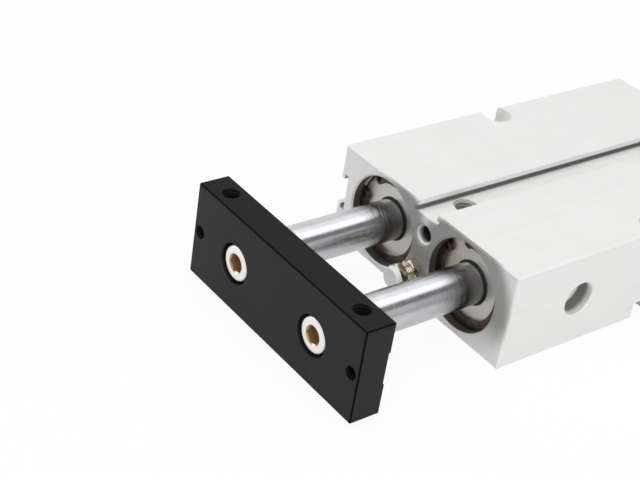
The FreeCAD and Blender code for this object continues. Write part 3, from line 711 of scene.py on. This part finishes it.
# thread ridges of the tapped holes: radius, length, start, turn, share of the pitch
bodyTaps = {"pitch": 0.8 * mm, "ridge": 0.16 * mm, "holes": [
    (2.12, 5.6, (40.2, 0, 17.6), (0, 90, 0), 1.0),
    (2.52, 7.0, (34.7, 0, 14.6), (0, 0, 0), 1.25),
    (4.36, 3.6, (24.2, 26.8, 12.5), (-90, 0, 0), 0.8),
    (4.36, 3.6, (-26.7, 26.8, 12.5), (-90, 0, 0), 0.8)]}
plateTaps = {"pitch": 0.8 * mm, "ridge": 0.14 * mm, "holes": [
    *((2.12, 7.2, (85, side * 24.15, 16.9), (0, 0, 0), 1.0) for side in (-1, 1)),
    *((2.12, 7.2, (85, side * 24.15, 0.9), (0, 0, 0), 1.0) for side in (-1, 1)),
    *((1.66, 5.2, (83.3, side * 28.5, 12.5), (0, 90, 0), 0.88) for side in (-1, 1))]}


def makeTaps(name, look, thread, finish, body):
    nodes = makeThreadsNodes(name, look["holes"], thread)
    mesh = grow(name, nodes, bpy.data.meshes.new(name + "Seed"),
                {"pitch": look["pitch"], "ridge": look["ridge"], "material": finishes[finish]})
    addPiece(name, mesh, finish, body)


threadNodes = makeThreadNodes()
makePlateScrews(makePairNodes())
makeStop(threadNodes)
makeTaps("bodyThreads", bodyTaps, threadNodes, "body", "housing")
makeTaps("plateThreads", plateTaps, threadNodes, "plate", "slide_unit")
print("threads, screws and stop shaped")

# floor: white, with a faint shadow; it glows less in reflections, so that they see the shadow too
floorLook = {
    "fixed": {"Base Color": (0.86, 0.86, 0.86), "Roughness": 0.8, "Specular IOR Level": 0.1},
    "reach": 1.5,
    "glow": 0.93,
    "glossyShare": 0.55,
}


def seenRays(tree, reflected=1.0):
    # 1 for the rays that show the background: camera, glass and, by the share given, reflections
    camera, glossy, glass = [tree.node("ShaderNodeLightPath", {}, {}, name) for name in
                             ("Is Camera Ray", "Is Glossy Ray", "Is Transmission Ray")]
    return (camera + glossy * reflected + glass).clamped()


def makeFloor():
    half = floorLook["reach"]
    mesh = bpy.data.meshes.new("floor")
    corners = [(-half, -half, 0), (half, -half, 0), (half, half, 0), (-half, half, 0)]
    mesh.from_pydata(corners, [], [(0, 1, 2, 3)])
    floor = bpy.data.objects.new("floor", mesh)
    scene.collection.objects.link(floor)
    finish = Finish("floorWhite", floorLook["fixed"])
    seen = seenRays(finish, floorLook["glossyShare"]) * floorLook["glow"]
    glow = finish.node("ShaderNodeEmission", {}, {"Color": (1, 1, 1), "Strength": 1.0})
    lit = Value(finish, finish.shader.outputs[0])
    both = finish.node("ShaderNodeMixShader", {}, {0: seen, 1: lit, 2: glow})
    finish.feed(finish.tree.nodes["Material Output"].inputs["Surface"], both)
    mesh.materials.append(finish.material)


# background: white where it is seen, a plain grey fill for all other light
worldLook = {"fill": (0.2, 0.2, 0.203), "seen": (1, 1, 1), "strength": 1.0}


def makeWorld():
    world = bpy.data.worlds.new("studio")
    world.use_nodes = True
    scene.world = world
    tree = Tree(world.node_tree)
    colour = tree.mixed(seenRays(tree), worldLook["fill"], worldLook["seen"])
    back = world.node_tree.nodes["Background"]
    tree.feed(back.inputs["Color"], colour)
    back.inputs["Strength"].default_value = worldLook["strength"]


# grey card beyond the far side, seen only in reflections: angles about the rods from +Z to +Y, in degrees
cardLook = {
    "fixed": {"Base Color": (0, 0, 0), "Emission Strength": 1.0, "Specular IOR Level": 0.0},
    "from": 21,
    "to": 94,
    "far": 0.75,
    "ends": (-1.1, -0.1),
    "strips": 12,
    "greys": ((0.0, 0.95), (0.06, 0.24), (0.33, 0.24), (0.45, 0.66), (0.72, 0.74), (0.9, 0.42), (1.0, 0.6)),
}


def makeCard():
    look = cardLook
    span = look["to"] - look["from"]
    mesh = bpy.data.meshes.new("card")
    corners = []
    for number in range(look["strips"] + 1):
        angle = math.radians(look["from"] + span * number / look["strips"])
        across, up = look["far"] * math.sin(angle), look["far"] * math.cos(angle) + boreAxis["z"]
        corners += [(end, across, up) for end in look["ends"]]
    faces = [(start, start + 1, start + 3, start + 2) for start in range(0, 2 * look["strips"], 2)]
    mesh.from_pydata(corners, [], faces)
    card = bpy.data.objects.new("card", mesh)
    scene.collection.objects.link(card)
    finish = Finish("cardGrey", look["fixed"])
    y, z = finish.split(finish.place)[1:]
    share = (y.reckon("ARCTAN2", z - boreAxis["z"]) * (180 / math.pi) - look["from"]) / span
    stops = [(place, (grey, grey, grey)) for place, grey in look["greys"]]
    grey = finish.node("ShaderNodeValToRGB", {"stops": stops}, {0: share})
    finish.feed(finish.shader.inputs["Emission Color"], grey)
    mesh.materials.append(finish.material)
    card.visible_camera = card.visible_diffuse = card.visible_shadow = card.visible_transmission = False


# soft lamps: place, size and power; their long side follows the direction "along"
lamps = {
    "above": {"place": (0.17, 0.05, 0.7), "wide": (1.2, 0.9), "power": 4.9},
    "wideStrip": {"place": (-0.352, -0.113, 0.567), "wide": (0.625, 0.35), "power": 0.25},
    "strip": {"place": (-0.352, 0.049, 0.576), "wide": (0.33, 0.35), "power": 0.19},
    "right": {"place": (0.2, 0.78, 0.25), "wide": (0.4, 0.4), "power": 2.2},
    "left": {"place": (0.45, -0.65, 0.12), "wide": (0.3, 0.2), "power": 1.5},
    "front": {"place": (0.6, -0.05, 0.55), "wide": (0.4, 0.4), "power": 0.18},
}
lampAim = {"at": (0.05, 0, 0.01), "along": (0, 0.97, 0.24)}


def makeLamps():
    for name, look in lamps.items():
        lamp = bpy.data.lights.new(name, "AREA")
        lamp.shape = "RECTANGLE"
        lamp.size, lamp.size_y = look["wide"]
        lamp.energy = look["power"]
        item = bpy.data.objects.new(name, lamp)
        item.location = look["place"]
        back = (Vector(look["place"]) - Vector(lampAim["at"])).normalized()
        across = Vector(lampAim["along"]) - back * back.dot(Vector(lampAim["along"]))
        across.normalize()
        item.rotation_euler = Matrix((across, back.cross(across), back)).transposed().to_euler()
        scene.collection.objects.link(item)


cameraLook = {
    "place": (0.26096307, 0.20606185, 0.20198796),
    "turn": (57.8628841, -9.63582505, 141.01109539),
    "lens": 85.16,
    "sensor": 36.0,
    "shift": (-0.125, -0.0234375),
    "clipStart": 0.01,
}


def makeCamera():
    camera = bpy.data.cameras.new("camera")
    camera.lens = cameraLook["lens"]
    camera.sensor_width = cameraLook["sensor"]
    camera.shift_x, camera.shift_y = cameraLook["shift"]
    camera.clip_start = cameraLook["clipStart"]
    item = bpy.data.objects.new("camera", camera)
    item.location = cameraLook["place"]
    item.rotation_euler = Euler([math.radians(turn) for turn in cameraLook["turn"]], "XYZ")
    scene.collection.objects.link(item)
    scene.camera = item


makeFloor()
makeWorld()
makeCard()
makeLamps()
makeCamera()
scene.view_settings.view_transform = "Standard"
print("floor, light and camera set")
